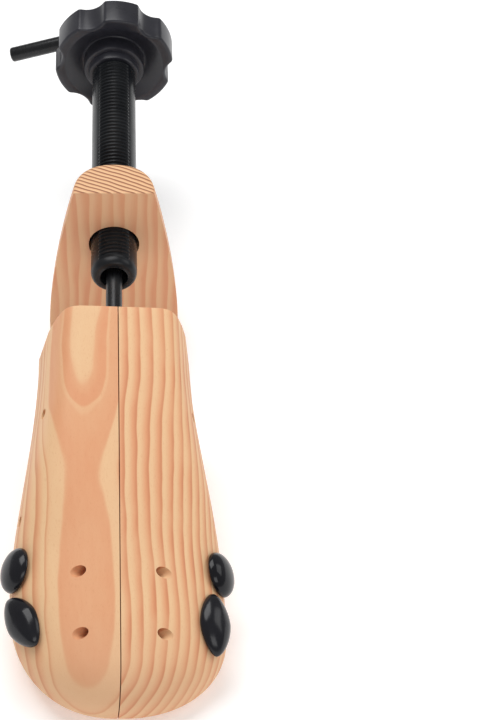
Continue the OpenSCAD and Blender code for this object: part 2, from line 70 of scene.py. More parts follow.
ROD_R, HANDLE_AT, HANDLE_LEN, HANDLE_DROP, BEND_R = 3.5, 208.0, 52.0, 18.0, 9.0

MM = 0.001
STAND = (Matrix.Translation((0, BALL * MM, RISE * MM)) @ Matrix.Rotation(math.radians(TILT), 4, "X")
         @ Matrix.Scale(MM, 4))
LEANED = (Matrix.Rotation(math.radians(LEAN), 4, "Y") @ Matrix.Translation((-CUT_SHIFT, 0, 0))
          @ Matrix.Rotation(math.radians(TOE_IN), 4, "Z"))


def to_world(p):
    return STAND @ Vector(p)


def ease(a, b, t):
    u = min(1.0, max(0.0, (t - a) / (b - a)))
    return u * u * (3 - 2 * u)


def ground(y):
    return -(RISE + y * math.sin(math.radians(TILT))) / math.cos(math.radians(TILT))


# ---- Mesh helpers --------------------------------------------------------------------


def new_object(name, points, faces, sharp=35.0, matrix=STAND):
    """A smooth-shaded mesh from points in the screw's frame, with edges over sharp degrees kept crisp."""
    mesh = bpy.data.meshes.new(name)
    mesh.from_pydata([matrix @ Vector(p) for p in points], [], faces)
    mesh.validate()
    obj = bpy.data.objects.new(name, mesh)
    bpy.context.scene.collection.objects.link(obj)
    tidy_mesh(obj, sharp)
    return obj


def tidy_mesh(obj, sharp=35.0):
    bm = bmesh.new()
    bm.from_mesh(obj.data)
    bmesh.ops.remove_doubles(bm, verts=bm.verts, dist=1e-7)
    bmesh.ops.recalc_face_normals(bm, faces=bm.faces)
    bm.to_mesh(obj.data)
    bm.free()
    obj.data.polygons.foreach_set("use_smooth", [True] * len(obj.data.polygons))
    obj.data.set_sharp_from_angle(angle=math.radians(sharp))


def rings_to_faces(rings, n, closed_ring=True, loop=False):
    faces = []
    last = rings if loop else rings - 1
    for i in range(last):
        for j in range(n if closed_ring else n - 1):
            k, m = (j + 1) % n, (i + 1) % rings
            faces.append((i * n + j, i * n + k, m * n + k, m * n + j))
    return faces


def loft(name, rings, caps=True, sharp=35.0, matrix=STAND):
    """Closed rings of equal length, joined in order, with flat ends."""
    n = len(rings[0])
    faces = rings_to_faces(len(rings), n)
    if caps:
        faces.append(tuple(range(n))[::-1])
        faces.append(tuple((len(rings) - 1) * n + j for j in range(n)))
    return new_object(name, [p for ring in rings for p in ring], faces, sharp, matrix)


def turned(name, profile, steps=96, sharp=30.0, matrix=STAND):
    """A closed profile of (radius, y) points turned about the screw's axis."""
    rings = []
    for i in range(steps):
        a = 2 * math.pi * i / steps
        rings.append([(r * math.sin(a), y, r * math.cos(a)) for r, y in profile])
    n = len(profile)
    return new_object(name, [p for r in rings for p in r], rings_to_faces(steps, n, True, True), sharp,
                      matrix)


def cylinder_cutter(start, direction, radius, length, steps=40):
    direction = Vector(direction).normalized()
    side = direction.orthogonal().normalized()
    other = direction.cross(side)
    rings = []
    for t in (0.0, length):
        centre = Vector(start) + direction * t
        rings.append([centre + (side * math.cos(2 * math.pi * k / steps)
                                + other * math.sin(2 * math.pi * k / steps)) * radius
                      for k in range(steps)])
    return loft("cutter", rings)


def box_cutter(low, high):
    x0, y0, z0 = low
    x1, y1, z1 = high
    return loft("cutter", [[(x0, y0, z), (x1, y0, z), (x1, y1, z), (x0, y1, z)] for z in (z0, z1)])


def cut(obj, cutters):
    """Takes the cutters away from obj and removes them."""
    for cutter in cutters:
        mod = obj.modifiers.new("cut", "BOOLEAN")
        mod.operation = "DIFFERENCE"
        mod.solver = "MANIFOLD"
        mod.object = cutter
    graph = bpy.context.evaluated_depsgraph_get()
    done = bpy.data.meshes.new_from_object(obj.evaluated_get(graph))
    obj.modifiers.clear()
    old = obj.data
    obj.data = done
    bpy.data.meshes.remove(old)
    done.name = obj.name
    for cutter in cutters:
        mesh = cutter.data
        bpy.data.objects.remove(cutter)
        bpy.data.meshes.remove(mesh)
    done.materials.clear()
    tidy_mesh(obj)


# ---- Material helpers ----------------------------------------------------------------


class Nodes:
    """A short way to write a node tree."""

    def __init__(self, name):
        self.material = bpy.data.materials.new(name)
        self.material.use_nodes = True
        self.tree = self.material.node_tree
        self.tree.nodes.clear()
        self.shader = self.tree.nodes.new("ShaderNodeBsdfPrincipled")
        out = self.tree.nodes.new("ShaderNodeOutputMaterial")
        self.tree.links.new(self.shader.outputs["BSDF"], out.inputs["Surface"])

    def put(self, socket, value):
        if isinstance(value, bpy.types.NodeSocket):
            self.tree.links.new(value, socket)
        elif value is not None:
            socket.default_value = value

    def node(self, kind, inputs=(), **settings):
        node = self.tree.nodes.new(kind)
        for key, value in settings.items():
            setattr(node, key, value)
        for key, value in dict(inputs).items():
            self.put(node.inputs[key], value)
        return node

    def math(self, operation, a, b=None, c=None, clamp=False):
        node = self.tree.nodes.new("ShaderNodeMath")
        node.operation = operation
        node.use_clamp = clamp
        for socket, value in zip(node.inputs, (a, b, c)):
            self.put(socket, value)
        return node.outputs[0]

    def span(self, value, a, b, to_a=0.0, to_b=1.0, smooth=True):
        return self.node("ShaderNodeMapRange",
                         {"Value": value, "From Min": a, "From Max": b, "To Min": to_a, "To Max": to_b},
                         interpolation_type="SMOOTHSTEP" if smooth else "LINEAR").outputs[0]

    def noise(self, vector, scale, detail=3.0, rough=0.5, distortion=0.0):
        return self.node("ShaderNodeTexNoise",
                         {"Vector": vector, "Scale": scale, "Detail": detail, "Roughness": rough,
                          "Distortion": distortion}).outputs[0]

    def mix(self, factor, a, b):
        node = self.node("ShaderNodeMix", data_type="RGBA")
        self.put(node.inputs[0], factor)
        self.put(node.inputs[6], a)
        self.put(node.inputs[7], b)
        return node.outputs[2]

    def curve(self, value, low, high, points):
        """A smooth curve through points, with value counted from low to high."""
        x = self.span(value, low, high, smooth=False)
        node = self.node("ShaderNodeFloatCurve", {"Value": x})
        curve = node.mapping.curves[0]
        top = max(v for _, v in points)
        bottom = min(v for _, v in points)
        spots = [((p - low) / (high - low), (v - bottom) / (top - bottom)) for p, v in points]
        while len(curve.points) < len(spots):
            curve.points.new(0.5, 0.5)
        for point, spot in zip(curve.points, spots):
            point.location = spot
        node.mapping.update()
        return self.span(node.outputs[0], 0.0, 1.0, bottom, top, smooth=False)

    def bump(self, height, strength, distance):
        return self.node("ShaderNodeBump",
                         {"Height": height, "Strength": strength, "Distance": distance}).outputs[0]


def srgb(r, g, b, a=1.0):
    def line(v):
        v /= 255.0
        return v / 12.92 if v <= 0.04045 else ((v + 0.055) / 1.055) ** 2.4
    return (line(r), line(g), line(b), a)


def in_screw_frame(n, leaned):
    """Object coordinates turned back to the screw's frame, in millimetres: (vector, x, y, z)."""
    turn = Matrix.Rotation(math.radians(-TILT), 3, "X")
    angles = [math.radians(-TILT), 0.0, 0.0]
    if leaned:
        angles = [math.radians(-TILT), math.radians(-LEAN), math.radians(-TOE_IN)]
        turn = Euler(angles, "XYZ").to_matrix()
    place = -(turn @ Vector((0, BALL, RISE)))
    if leaned:
        place -= Matrix.Rotation(math.radians(-TOE_IN), 3, "Z") @ Vector((-CUT_SHIFT, 0, 0))
    coords = n.node("ShaderNodeTexCoord").outputs["Object"]
    vector = n.node("ShaderNodeMapping", {"Vector": coords, "Location": place, "Rotation": angles,
                                          "Scale": (1000, 1000, 1000)}).outputs[0]
    split = n.node("ShaderNodeSeparateXYZ", {"Vector": vector})
    return vector, split.outputs[0], split.outputs[1], split.outputs[2]


CREAM = srgb(241, 199, 153)
AMBER = srgb(230, 160, 116)
DEEP = srgb(205, 128, 88)


def finish_wood(n, vector, late, along, shade_and_stain=None):
    """Colours early and late wood and adds the fibres that run along one axis."""
    stretch = [1.0, 1.0, 1.0]
    stretch[along] = 0.045
    fibres = n.node("ShaderNodeMapping", {"Vector": vector, "Scale": stretch}).outputs[0]
    fine = n.noise(fibres, 2.6, 4.0, 0.62)
    broad = n.noise(fibres, 0.42, 3.0, 0.5)
    patch = n.noise(vector, 0.02, 2.0, 0.5)
    shade = n.math("ADD", late, n.math("MULTIPLY", n.math("SUBTRACT", broad, 0.5), 0.26))
    colour = n.mix(n.math("MULTIPLY", shade, 1.0, clamp=True), CREAM, AMBER)
    colour = n.mix(n.span(fine, 0.53, 0.78, 0.0, 0.30), colour, DEEP)
    colour = n.mix(n.span(patch, 0.35, 0.7, 0.0, 0.16), colour, srgb(232, 180, 138))
    # painted shade low on the sides and at the toe, partly the toe's real stain, laid on as a darker
    # pinkish brown
    if shade_and_stain is not None:
        colour = n.mix(shade_and_stain, colour, srgb(216, 166, 130))
    n.put(n.shader.inputs["Base Color"], colour)
    rough = n.span(fine, 0.3, 0.7, 0.50, 0.62)
    n.put(n.shader.inputs["Roughness"], rough)
    n.put(n.shader.inputs["Specular IOR Level"], n.span(late, 0.0, 1.0, 0.30, 0.36))
    height = n.math("ADD", n.math("MULTIPLY", fine, 0.7), n.math("MULTIPLY", late, 0.3))
    n.put(n.shader.inputs["Normal"], n.bump(height, 0.16, 0.00018))
    return n.material


def side_shade_and_toe_stain(n, f, drop):
    """Painted shade, darker and pinker low on the sides and towards the toe, where less light falls; at the
    toe it also stands for the wood's real pinkish-brown stain.
    """
    return n.math("MAXIMUM", n.span(drop, 14.0, 34.0, 0.0, 0.35), n.span(f, 118.0, 156.0, 0.0, 0.42))


def darken(n, factor, colour):
    """Lays another colour over the base colour found so far."""
    base = n.shader.inputs["Base Color"]
    n.put(base, n.mix(factor, base.links[0].from_socket, colour))
    return n.material


def ring_profile(n, t):
    """Late wood darkens slowly across a ring and ends sharply: t runs from 0 to 1 across it."""
    return n.math("MULTIPLY", n.span(t, 0.12, 0.82), n.span(t, 0.90, 1.0, 1.0, 0.0))


def wood_left():
    """Flat-sawn figure: a tongue from the rear, a waist, and a long oval at the ball."""
    n = Nodes("pine_left_grain")
    vector, x, y, z = in_screw_frame(n, True)
    f = n.math("MULTIPLY", y, -1.0)
    wander = n.noise(n.node("ShaderNodeMapping", {"Vector": vector, "Scale": (1.0, 0.35, 1.0)}).outputs[0],
                     0.055, 2.0, 0.5)
    depth = n.curve(f, -5.0, 170.0,
                    [(-5, 0), (15, 8), (33, 30), (44, 88), (50, 125), (60, 185), (70, 214), (80, 202),
                     (95, 160), (112, 140), (125, 152), (137, 180), (149, 222), (153, 251),
                     (160, 330), (170, 500)])
    centre = n.curve(f, -5.0, 170.0,
                     [(-5, -10.5), (40, -14.5), (70, -14.0), (112, -13.0), (150, -12.0), (170, -12.0)])
    across = n.math("SUBTRACT", x, centre)
    across = n.math("ADD", across, n.math("MULTIPLY", n.math("SUBTRACT", wander, 0.5), 7.0))
    top = n.math("SUBTRACT", REAR_TOP, n.math("MULTIPLY", f, TOP_FALL))
    drop = n.math("SUBTRACT", top, z)
    drop = n.math("MULTIPLY", n.math("MAXIMUM", drop, 0.0), 0.8)
    square = n.math("ADD", n.math("MULTIPLY", across, across), n.math("MULTIPLY", drop, drop))
    field = n.math("SQRT", n.math("ADD", square, depth))
    inner = n.curve(field, 0.0, 20.5,
                    [(0, 0.05), (4.6, 0.08), (6.2, 0.75), (8.9, 0.95), (9.5, 0.42), (10.6, 0.7),
                     (13.0, 0.78), (15.3, 0.86), (16.3, 0.12), (18.3, 0.10), (19.9, 0.42), (20.5, 0.6)])
    rings = n.math("FRACT", n.math("DIVIDE", n.math("SUBTRACT", field, 16.4), 4.3))
    outer = n.math("MULTIPLY", ring_profile(n, rings), 0.75)
    switch = n.span(field, 19.8, 20.6, smooth=False)
    late = n.math("ADD", n.math("MULTIPLY", inner, n.math("SUBTRACT", 1.0, switch)),
                  n.math("MULTIPLY", outer, switch))
    finish_wood(n, vector, late, 1, side_shade_and_toe_stain(n, f, drop))
    edge = n.math("MULTIPLY", n.span(rings, 0.62, 0.9), n.span(rings, 0.9, 0.98, 1.0, 0.0))
    return darken(n, n.math("MULTIPLY", n.math("MULTIPLY", edge, switch), 0.45), DEEP)


def wood_right():
    """Straight grain: wavy stripes along the shoe that close up towards the toe."""
    n = Nodes("pine_right_grain")
    vector, x, y, z = in_screw_frame(n, True)
    f = n.math("MULTIPLY", y, -1.0)
    sway = n.curve(f, -5.0, 170.0,
                   [(-5, 0.3), (20, 0.6), (50, -0.9), (68, -1.2), (90, -0.4), (112, 0.4), (128, 1.2),
                    (142, 0.6), (156, -2.0), (170, -5)])
    wander = n.noise(n.node("ShaderNodeMapping", {"Vector": vector, "Scale": (1.0, 0.5, 1.0)}).outputs[0],
                     0.06, 2.0, 0.5)
    top = n.math("SUBTRACT", REAR_TOP, n.math("MULTIPLY", f, TOP_FALL))
    drop = n.math("MAXIMUM", n.math("SUBTRACT", top, z), 0.0)
    field = n.math("ADD", n.math("SUBTRACT", x, sway), n.math("MULTIPLY", drop, 0.72))
    field = n.math("ADD", field, n.math("MULTIPLY", wander, 3.0))
    rings = n.math("FRACT", n.math("DIVIDE", field, 5.0))
    amount = n.span(n.noise(vector, 0.05, 1.0), 0.3, 0.7, 0.8, 1.15)
    late = n.math("MULTIPLY", ring_profile(n, rings), amount)
    finish_wood(n, vector, late, 1, side_shade_and_toe_stain(n, f, drop))
    edge = n.math("MULTIPLY", n.span(rings, 0.62, 0.9), n.span(rings, 0.9, 0.98, 1.0, 0.0))
    return darken(n, n.math("MULTIPLY", edge, n.span(amount, 0.8, 1.15, 0.30, 0.62)), DEEP)


def wood_heel():
    """Upright grain: soft stripes up the faces and fine sloping rings across the end grain on top, with
    painted shade on the upright faces.
    """
    n = Nodes("pine_heel_grain")
    vector, x, y, z = in_screw_frame(n, False)
    wander = n.noise(n.node("ShaderNodeMapping", {"Vector": vector, "Scale": (1.0, 1.0, 0.3)}).outputs[0],
                     0.05, 2.0, 0.5)
    field = n.math("ADD", n.math("MULTIPLY", x, 0.40), n.math("MULTIPLY", y, 0.91))
    field = n.math("ADD", field, n.math("MULTIPLY", wander, 3.0))
    rings = n.math("FRACT", n.math("DIVIDE", field, 2.0))
    normal = n.node("ShaderNodeSeparateXYZ",
                    {"Vector": n.node("ShaderNodeNewGeometry").outputs["Normal"]}).outputs[2]
    facing_up = n.span(normal, 0.55, 0.85)
    stripes = n.math("MULTIPLY", ring_profile(n, rings), n.span(wander, 0.35, 0.65, 0.7, 1.3))
    late = n.mix(facing_up, stripes, ring_profile(n, rings))
    finish_wood(n, vector, n.node("ShaderNodeSeparateColor", {"Color": late}).outputs[0], 2)
    # painted shade: faces that do not face up are laid over with a darker pinkish brown by 30 percent,
    # fading out on the end grain on top
    darken(n, n.span(facing_up, 0.0, 1.0, 0.30, 0.0), srgb(208, 162, 136))
    line = n.math("MULTIPLY", n.math("MULTIPLY", n.span(rings, 0.42, 0.78),
                                     n.span(rings, 0.84, 0.98, 1.0, 0.0)), facing_up)
    return darken(n, n.math("MULTIPLY", line, 0.85), srgb(122, 70, 46))


def plastic(name, dark, light, roughness, grain=900.0, strength=0.08, gloss=0.46):
    """Moulded charcoal plastic with a faint texture and uneven gloss."""
    n = Nodes(name)
    coords = n.node("ShaderNodeTexCoord").outputs["Object"]
    cloud = n.noise(coords, 45.0, 4.0, 0.6)
    speckle = n.noise(coords, grain, 2.0, 0.6)
    n.put(n.shader.inputs["Base Color"], n.mix(n.span(cloud, 0.3, 0.7), dark, light))
    n.put(n.shader.inputs["Roughness"], n.span(cloud, 0.3, 0.7, roughness - 0.05, roughness + 0.06))
    n.put(n.shader.inputs["Specular IOR Level"], n.span(cloud, 0.2, 0.8, gloss - 0.04, gloss + 0.04))
    n.put(n.shader.inputs["Normal"], n.bump(speckle, strength, 0.0001))
    return n.material


def metal(name, dark, light, roughness, scale=(1.0, 1.0, 1.0), metallic=1.0):
    """Bare or painted metal with fine drawn or turned marks."""
    n = Nodes(name)
    coords = n.node("ShaderNodeTexCoord").outputs["Object"]
    marks = n.noise(n.node("ShaderNodeMapping", {"Vector": coords, "Scale": scale}).outputs[0], 700.0, 3.0,
                    0.6)
    cloud = n.noise(coords, 60.0, 3.0, 0.5)
    n.put(n.shader.inputs["Base Color"], n.mix(n.span(cloud, 0.3, 0.7), dark, light))
    n.put(n.shader.inputs["Roughness"], n.span(marks, 0.3, 0.7, roughness - 0.06, roughness + 0.08))
    n.shader.inputs["Metallic"].default_value = metallic
    n.put(n.shader.inputs["Normal"], n.bump(marks, 0.06, 0.0001))
    return n.material


MATERIALS = {
    "pine_left": wood_left(),
    "pine_right": wood_right(),
    "pine_heel": wood_heel(),
    "knob_plastic": plastic("knob_charcoal", srgb(37, 37, 43), srgb(45, 45, 52), 0.32, gloss=0.40),
    "screw_plastic": plastic("screw_charcoal", srgb(20, 22, 25), srgb(28, 30, 33), 0.27, gloss=0.20),
    "plug_plastic": plastic("plug_charcoal", srgb(20, 20, 24), srgb(27, 27, 32), 0.17, 1400.0,
                            strength=0.02, gloss=0.30),
    "nut_plastic": plastic("nut_charcoal", srgb(30, 31, 33), srgb(42, 43, 45), 0.48),
    "bearing_plastic": plastic("bearing_charcoal", srgb(32, 33, 35), srgb(46, 47, 49), 0.5),
    "rod_black": metal("rod_black_paint", srgb(26, 27, 29), srgb(38, 39, 41), 0.30, (1.0, 0.15, 1.0), 0.35),
    "collar_steel": metal("collar_turned", srgb(120, 122, 126), srgb(150, 152, 156), 0.32),
    "ramp_steel": metal("ramp_ground", srgb(140, 142, 146), srgb(170, 172, 175), 0.35, (1.0, 0.2, 1.0)),
    "screw_steel": metal("screw_zinc", srgb(165, 166, 165), srgb(190, 190, 186), 0.3),
    "pin_steel": metal("pin_ground", srgb(170, 172, 176), srgb(196, 198, 200), 0.22, (0.2, 1.0, 1.0)),
    "spring_steel": metal("spring_wire", srgb(150, 152, 156), srgb(176, 178, 182), 0.28),
    "wedge_brass": metal("wedge_machined", srgb(190, 150, 78), srgb(212, 172, 100), 0.3, (1.0, 0.3, 1.0)),
}


def dress(obj, slot, body, *nodes):
    """Gives a piece its material, its body and the CAD nodes that it stands for."""
    obj.data.materials.clear()
    obj.data.materials.append(MATERIALS[slot])
    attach(obj, body)
    if nodes:
        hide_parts(*nodes)
    return obj


# ---- Forepart ------------------------------------------------------------------------

SIDES = {"left": -1, "right": 1}
TOE = {-1: (48.0, 2.15), 1: (36.0, 2.1)}       # length and exponent of the toe's rounding
FLARE = {-1: (-1, 108), 1: (-5, 109)}          # where each side starts and stops widening
REAR_WAIST, BALL_WAIST = 0.44, 0.60            # the widest level, as a share of the height
REAR_CURVE, BALL_CURVE, SOLE_CURVE = 10.5, 2.6, 3.2
REAR_TAPER, BALL_TAPER, SOLE_TAPER = 0.29, 0.10, 0.10
SHOULDER = 1.6                                 # rounds the shoulders in, where 1 is a plain slope
EDGE = 0.8


def round_off(f, length, n):
    t = min(1.0, max(0.0, (f - FORE_LEN + length) / length))
    return max(0.0, 1 - t ** n) ** (1 / n)


def form_point(side, f, turn):
    up = turn >= 0
    top = REAR_TOP - TOP_FALL * f
    sole = ground(-f) - 2 + (REAR_LIFT + 2) * (1 - ease(0, 38, f))
    waist = top - (REAR_WAIST + (BALL_WAIST - REAR_WAIST) * ease(0, 90, f)) * (top - sole)
    n = REAR_CURVE + (BALL_CURVE - REAR_CURVE) * ease(10, 100, f) if up else SOLE_CURVE
    rise = abs(math.sin(math.radians(turn))) ** (2 / n)
    taper = REAR_TAPER + (BALL_TAPER - REAR_TAPER) * ease(20, 110, f) if up else SOLE_TAPER
    rear = REAR_HALF if side > 0 else REAR_HALF - LEFT_SLIM
    half = (rear + (BALL_HALF - REAR_HALF) * ease(*FLARE[side], f)) * round_off(f, *TOE[side])
    x = half * abs(math.cos(math.radians(turn))) ** (2 / n)
    x = x * (1 - taper * rise ** SHOULDER) + SAW_CUT / 2
    if up:
        z = waist + (top - waist) * rise * round_off(f, 16, 2.4)
    else:
        z = waist - (waist - sole) * rise * round_off(f, 48, 2)
    return Vector((side * x, -f, z))


def seat(side, f, turn):
    """(place, normal, forward, sideways) of a spot on the form, in the screw's frame."""
    df = form_point(side, f + 0.5, turn) - form_point(side, f - 0.5, turn)
    dt = form_point(side, f, turn + 0.5) - form_point(side, f, turn - 0.5)
    normal = (-side * df.cross(dt)).normalized()
    toe = Vector((0, -1, 0))
    forward = (toe - normal * normal.dot(toe)).normalized()
    directions = (normal, forward, normal.cross(forward))
    return [LEANED @ form_point(side, f, turn)] + [LEANED.to_3x3() @ v for v in directions]


def half_form(side):
    """The wooden half as a dense closed skin, flat on the ground, with its rear edge eased."""
    fs = [0.0, 0.12, 0.3, 0.52, EDGE]
    fs += [EDGE + (FORE_LEN * 0.9992 - EDGE) * math.sin(math.pi / 2 * i / 150) ** 0.92
           for i in range(1, 151)]
    turns = [90 - 180 * j / 110 for j in range(111)]
    rings = []
    for f in fs:
        inset = EDGE * (1 - math.sqrt(max(0.0, 1 - (1 - min(f, EDGE) / EDGE) ** 2)))
        ring = []
        for turn in turns:
            p = form_point(side, f, turn)
            middle = 0.5 * (REAR_TOP + ground(0))
            p.x = side * (SAW_CUT / 2 + (abs(p.x) - SAW_CUT / 2) * (1 - inset / REAR_HALF))
            p.z = middle + (p.z - middle) * (1 - inset / 42)
            q = LEANED @ p
            q.z = max(q.z, ground(q.y))
            ring.append(q)
        rings.append(ring)
    return loft("half", rings)


ROUND_SEAT = {-1: (100.6, 17.7), 1: (102.2, 21.8)}
ALMOND_SEAT = {-1: (123.7, 24), 1: (125.5, 31.9)}
ALMOND_SWING = {-1: 22, 1: 12}
ALMOND_CURVE = 1.65     # under 2, so that both ends come to a soft point
SIDE_SEATS, TOP_SEATS = ((38, 7), (78, 8)), ((109.3, 70.5), (133.2, 69))
TOP_SLANT, TOP_HEADING = math.radians(46), math.radians(20)


def hole_cutters(side):
    cutters = []
    for spot, depth in [(ROUND_SEAT[side], HOLE_DEPTH),
                        (ALMOND_SEAT[side], HOLE_DEPTH)] + [(s, SIDE_HOLE_DEPTH) for s in SIDE_SEATS]:
        place, normal, _, _ = seat(side, *spot)
        cutters.append(cylinder_cutter(place - normal * depth, normal, PLUG_HOLE_R, depth + 3))
    for spot in TOP_SEATS:
        place, normal, forward, sideways = seat(side, *spot)
        out = sideways * side * math.cos(TOP_HEADING) + forward * math.sin(TOP_HEADING)
        drill = normal * math.cos(TOP_SLANT) + out * math.sin(TOP_SLANT)
        cutters.append(cylinder_cutter(place - drill * HOLE_DEPTH, drill, PLUG_HOLE_R, HOLE_DEPTH + 5))
    return cutters


def pocket_cutters(side):
    """The room for the spreader and its guides, as in the CAD."""
    outline = [(7, -13.5), (7, -17.5), (16, -17.5), (16, -33.5), (18, -33.5), (18, -60.5), (7, -60.5),
               (7, -68.5)]
    outline = outline + [(-x, y) for x, y in outline[::-1]]
    cutters = [loft("cutter", [[(x, y, z) for x, y in outline] for z in (-8.5, 8.5)]),
               box_cutter((-11.5, -14.5, -21.5), (11.5, -2.5, 9.5)),
               box_cutter((-9.5, -78.5, -21.5), (9.5, -67.5, 8.0)),
               cylinder_cutter((0, -3, 0), (0, 1, 0), 7, 5, 64)]
    for y, half, reach in ((-8.5, 11, 28.5), (-73, 9, 27)):
        cutters.append(cylinder_cutter((side * (half - 1), y, -15), (side, 0, 0), 3.05, reach - half + 2))
        cutters.append(cylinder_cutter((side * (half - 1), y, 0), (side, 0, 0), 3.3, 10))
    return cutters


for name, side in SIDES.items():
    half = half_form(side)
    half.name = "forepart_%s_wood" % name
    cut(half, hole_cutters(side) + pocket_cutters(side))
    dress(half, "pine_" + name, "half_" + name, "forepart_" + name)

# ---- Plugs ---------------------------------------------------------------------------


def on_seat(spot, p):
    place, normal, forward, sideways = spot
    return place + forward * p[0] + sideways * p[1] + normal * p[2]


def plug_rings(outline, height, gap, edge=0.5, steps=22):
    """Rings of a dome over an outline: a flat back, a tucked edge and a round crown."""
    rings = [[(x * 0.3, y * 0.3, gap) for x, y in outline], [(x * 0.93, y * 0.93, gap) for x, y in outline],
             [(x * 0.985, y * 0.985, gap + edge * 0.35) for x, y in outline]]
    for i in range(steps + 1):
        a = math.pi / 2 * i / steps
        c, s = math.cos(a) ** 0.94, math.sin(a)
        if i == steps:
            c = 0.004
        rings.append([(x * c, y * c, gap + edge + (height - edge) * s) for x, y in outline])
    return rings


def peg_rings():
    steps = 32
    rings = []
    for r, z in ((1.6, -PEG_LEN), (2.2, -PEG_LEN + 0.6), (2.2, 0.4)):
        rings.append([(r * math.cos(2 * math.pi * k / steps), r * math.sin(2 * math.pi * k / steps),
                       z) for k in range(steps)])
    return rings


def join(name, parts, sharp=35.0):
    """One object from several closed skins."""
    points, faces = [], []
    for rings in parts:
        n, base = len(rings[0]), len(points)
        points += [p for ring in rings for p in ring]
        faces += [tuple(base + v for v in face) for face in rings_to_faces(len(rings), n)]
        faces.append(tuple(base + j for j in range(n))[::-1])
        faces.append(tuple(base + (len(rings) - 1) * n + j for j in range(n)))
    return new_object(name, points, faces, sharp)


def circle_outline(r, steps=72):
    return [(r * math.cos(2 * math.pi * k / steps),
             r * math.sin(2 * math.pi * k / steps)) for k in range(steps)]


def almond_outline(swing, steps=96):
    out = []
    for k in range(steps):
        a = 2 * math.pi * k / steps
        c, s = math.cos(a), math.sin(a)
        r = (abs(2 * c / ALMOND_LEN) ** ALMOND_CURVE
             + abs(2 * s / ALMOND_W) ** ALMOND_CURVE) ** (-1 / ALMOND_CURVE)
        x, y = r * c, r * s
        out.append((x * math.cos(swing) - y * math.sin(swing), x * math.sin(swing) + y * math.cos(swing)))
    return out


for name, side in SIDES.items():
    for kind, spot, height, outline in (("round", ROUND_SEAT[side], ROUND_H, circle_outline(ROUND_R)),
                                        ("almond", ALMOND_SEAT[side], ALMOND_H,
                                         almond_outline(math.radians(ALMOND_SWING[side])))):
        place = seat(side, *spot)
        parts = [[[on_seat(place, p) for p in ring] for ring in rings]
                 for rings in (plug_rings(outline, height, 0.15), peg_rings())]
        node = "%s_plug_%s" % (kind, name)
        dress(join(node + "_cap", parts), "plug_plastic", node, node)

# ---- Heel block ----------------------------------------------------------------------

BLOCK_TOP_HALF, BLOCK_WAIST, BLOCK_FLARE = 17.3, -50.0, 1.55
BLOCK_BORE_R, NUT_RECESS_R, REAR_RECESS_R = 11.05, 13.5, 18.3


def block_half_at(z):
    up = max(0.0, z - BLOCK_WAIST) / (BLOCK_TOP - BLOCK_WAIST)
    return BLOCK_HALF - (BLOCK_HALF - BLOCK_TOP_HALF) * up ** BLOCK_FLARE


def block_depth_at(z):
    down = max(0.0, BLOCK_TOP - z) / (BLOCK_TOP - BLOCK_FOOT)
    return BLOCK_TOP_DEPTH + (BLOCK_FOOT_DEPTH - BLOCK_TOP_DEPTH) * down ** 0.62


def block_ring(z, inset):
    ring = []
    count = 72
    for k in range(count + 1):
        a = math.pi * k / count
        x = (block_half_at(z) - inset) * abs(math.cos(a)) ** (2 / 2.3) * (-1 if a > math.pi / 2 else 1)
        y = inset * 0.7 + (block_depth_at(z) - inset * 1.7) * abs(math.sin(a)) ** (2 / 2.3)
        ring.append((x, BLOCK_GAP + y, max(z, ground(BLOCK_GAP + y))))
    for k in range(1, 24):
        x0, x1 = ring[count][0], ring[0][0]
        x = x0 + (x1 - x0) * k / 24
        ring.append((x, BLOCK_GAP + inset * 0.7, max(z, ground(BLOCK_GAP))))
    return ring


levels = [BLOCK_FOOT + 1 + (BLOCK_TOP - 1.0 - BLOCK_FOOT - 1) * (i / 90) for i in range(91)]
rings = [block_ring(z, 0.0) for z in levels]
for i in range(1, 7):
    a = math.pi / 2 * i / 6
    rings.append(block_ring(BLOCK_TOP - 1.0 + math.sin(a), 1 - math.cos(a)))
block = loft("heel_block_wood", rings)
cut(block, [cylinder_cutter((0, BLOCK_GAP - 1, 0), (0, 1, 0), BLOCK_BORE_R, 9, 96),
            cylinder_cutter((0, BLOCK_GAP + 6, 0), (0, 1, 0), NUT_RECESS_R, 60, 96),
            cylinder_cutter((0, BLOCK_GAP + 21, 0), (0, 1, 0), REAR_RECESS_R, 60, 96)])
dress(block, "pine_heel", "heel", "heel_block")

# ---- Length screw --------------------------------------------------------------------


def land_turn(turn):
    """Angle from the nearer of the two lands, which lie at the top and at the bottom."""
    return (turn + math.pi / 2) % math.pi - math.pi / 2


def ridge_at(turn, y):
    """Height of the ridge on ring y: the ring follows the helix, and the lower land is half a pitch on."""
    low, high = SCREW_START + 3.2, KNOB_START - 8.0
    if not low < y < high:
        return 0.0
    t = ((y - low) / PITCH - (0.0 if math.cos(turn) > 0 else 0.5)) % 1.0
    shape = min(1.0, max(0.0, min(t / 0.22, (0.64 - t) / 0.22)))
    shape = shape * shape * (3 - 2 * shape)
    land = 1.0 - ease(36.0, 42.0, abs(math.degrees(land_turn(turn))))
    ends = ease(low, low + 1.0, y) * (1 - ease(high - 1.0, high, y))
    return RIDGE * shape * land * ends


def helix_shift(turn, y):
    """How far a ring runs ahead at turn, fading out between the lands and at both ends."""
    away = land_turn(turn)
    rise = PITCH * away / (2 * math.pi) * (1 - ease(45.0, 85.0, abs(math.degrees(away))))
    return rise * ease(SCREW_START + 3.5, SCREW_START + 6.0,
                       y) * (1 - ease(SCREW_END - 4.0, SCREW_END - 1.0, y))


